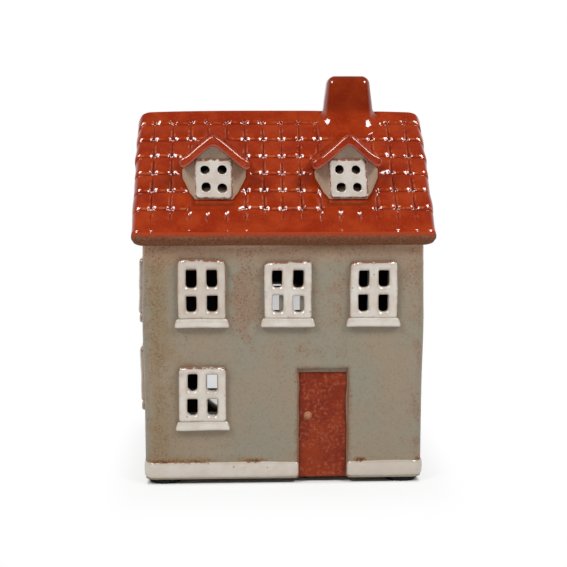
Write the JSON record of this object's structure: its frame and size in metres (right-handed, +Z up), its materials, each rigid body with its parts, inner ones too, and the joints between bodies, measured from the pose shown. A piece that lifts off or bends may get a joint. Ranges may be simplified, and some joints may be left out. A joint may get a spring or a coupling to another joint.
{
  "type": "tealight house",
  "caption": "Glazed stoneware cottage with a tiled gable roof, dormers and chimney; a tealight goes in through the arched rear opening and shines through the panes.",
  "frame": {"origin": "middle of the footprint, on the surface that the pads stand on", "axes": "+Z up towards the ridge, -Y out of the front door, +X to the right seen from the front"},
  "size_m": [0.1214, 0.094, 0.1668],
  "materials": {
    "wall_glaze": "satin",
    "roof_glaze": "gloss",
    "white_glaze": "gloss",
    "door_glaze": "satin",
    "pad": "matte",
    "candle_cup": "satin",
    "wax": "satin",
    "sustainer": "satin",
    "wick": "matte"
  },
  "bodies": {
    "house": {"base_slab": "wall_glaze", "chimney_stack": "roof_glaze", "door_knob": "door_glaze", "door_panel": "door_glaze", "front_left_pad": "pad", "front_left_plinth": "white_glaze", "front_lower_left_frame": "white_glaze", "front_lower_left_sill": "white_glaze", "front_right_pad": "pad", "front_right_plinth": "white_glaze", "front_roof_slab": "roof_glaze", "front_upper_left_frame": "white_glaze", "front_upper_left_sill": "white_glaze", "front_upper_middle_frame": "white_glaze", "front_upper_middle_sill": "white_glaze", "front_upper_right_frame": "white_glaze", "front_upper_right_sill": "white_glaze", "front_wall": "wall_glaze", "left_dormer_roof": "roof_glaze", "left_dormer_wall": "wall_glaze", "left_dormer_window": "white_glaze", "left_gable_wall": "wall_glaze", "left_lower_front_frame": "white_glaze", "left_lower_front_sill": "white_glaze", "left_lower_rear_frame": "white_glaze", "left_lower_rear_sill": "white_glaze", "left_plinth": "white_glaze", "left_upper_front_frame": "white_glaze", "left_upper_front_sill": "white_glaze", "left_upper_rear_frame": "white_glaze", "left_upper_rear_sill": "white_glaze", "rear_left_pad": "pad", "rear_plinth": "white_glaze", "rear_right_pad": "pad", "rear_roof_slab": "roof_glaze", "rear_wall": "wall_glaze", "right_dormer_roof": "roof_glaze", "right_dormer_wall": "wall_glaze", "right_dormer_window": "white_glaze", "right_gable_wall": "wall_glaze", "right_lower_front_frame": "white_glaze", "right_lower_front_sill": "white_glaze", "right_lower_rear_frame": "white_glaze", "right_lower_rear_sill": "white_glaze", "right_plinth": "white_glaze", "right_upper_front_frame": "white_glaze", "right_upper_front_sill": "white_glaze", "right_upper_rear_frame": "white_glaze", "right_upper_rear_sill": "white_glaze"},
    "tealight": {"tealight_cup": "candle_cup", "tealight_wax": "wax", "tealight_wick": "wick", "wick_sustainer": "sustainer"}
  },
  "joints": [
    {"name": "tealight_lift_out", "type": "slide", "parent": "house", "child": "tealight", "axis": [0, 0.9336, 0.3584], "range_m": [0, 0.075]}
  ]
}
